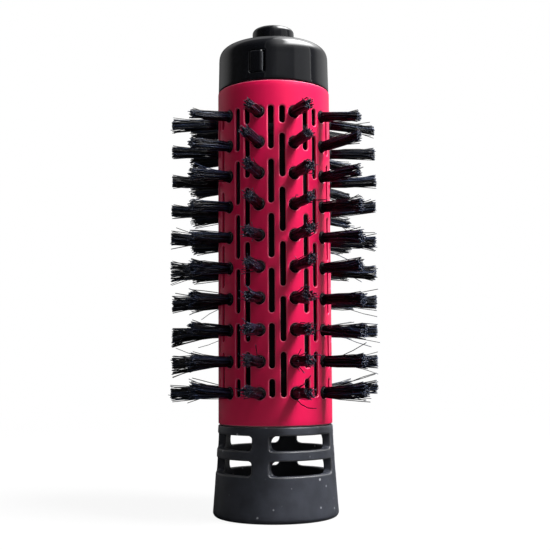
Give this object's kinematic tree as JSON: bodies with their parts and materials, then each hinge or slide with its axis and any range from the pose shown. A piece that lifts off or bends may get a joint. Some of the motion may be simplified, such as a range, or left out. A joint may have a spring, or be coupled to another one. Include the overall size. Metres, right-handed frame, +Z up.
{
  "type": "hot air brush head",
  "caption": "Rotating round brush head for a hot air styler: perforated barrel with bristle tufts, vented base collar, clip-on end cap with snap tongues and a cool-tip knob.",
  "frame": {"origin": "centre of the base collar's bottom rim, on the barrel's axis", "axes": "+Z up along the barrel's axis towards the tip knob; the pictured side faces -Y and +X is its right"},
  "size_m": [0.0604, 0.0592, 0.1388],
  "materials": {
    "barrel_coating": "satin magenta ceramic coating on aluminium",
    "collar_plastic": "matte charcoal",
    "cap_plastic": "polished black",
    "bristle_nylon": "black nylon",
    "frame_plastic": "glass-filled black",
    "bearing_plastic": "natural, smooth",
    "steel": "bright",
    "brass": "machined"
  },
  "bodies": {
    "base": {"base_collar": "collar_plastic", "thrust_washer": "bearing_plastic", "retaining_clip": "steel"},
    "brush": {"barrel_tube": "barrel_coating", "drive_spider": "frame_plastic", "drive_insert": "brass", "tie_rod": "steel", "core_tube": "frame_plastic", "tie_washer": "steel", "tie_nut": "steel", "top_plug": "frame_plastic", "end_cap": "cap_plastic", "bristle_carrier_1": "bristle_nylon", "bristle_carrier_2": "bristle_nylon", "bristle_carrier_3": "bristle_nylon", "bristle_carrier_4": "bristle_nylon"},
    "knob": {"tip_knob": "cap_plastic", "knob_washer": "steel", "knob_screw": "steel"},
    "tongue_front": {"snap_tongue_front": "cap_plastic"},
    "tongue_rear": {"snap_tongue_rear": "cap_plastic"}
  },
  "joints": [
    {"name": "brush_spin", "type": "hinge", "parent": "base", "child": "brush", "pos_m": [0, 0, 0.0252], "axis": [0, 0, 1], "continuous": true},
    {"name": "knob_spin", "type": "hinge", "parent": "brush", "child": "knob", "pos_m": [0, 0, 0.134], "axis": [0, 0, 1], "continuous": true},
    {"name": "tongue_front_press", "type": "hinge", "parent": "brush", "child": "tongue_front", "pos_m": [-0.0037, -0.01267, 0.1206], "axis": [-0.9598, 0.2807, 0], "range_deg": [0, 10], "stiffness_Nm_per_rad": 0.08},
    {"name": "tongue_rear_press", "type": "hinge", "parent": "brush", "child": "tongue_rear", "pos_m": [0.0037, 0.01267, 0.1206], "axis": [0.9598, -0.2807, 0], "range_deg": [0, 10], "stiffness_Nm_per_rad": 0.08}
  ]
}
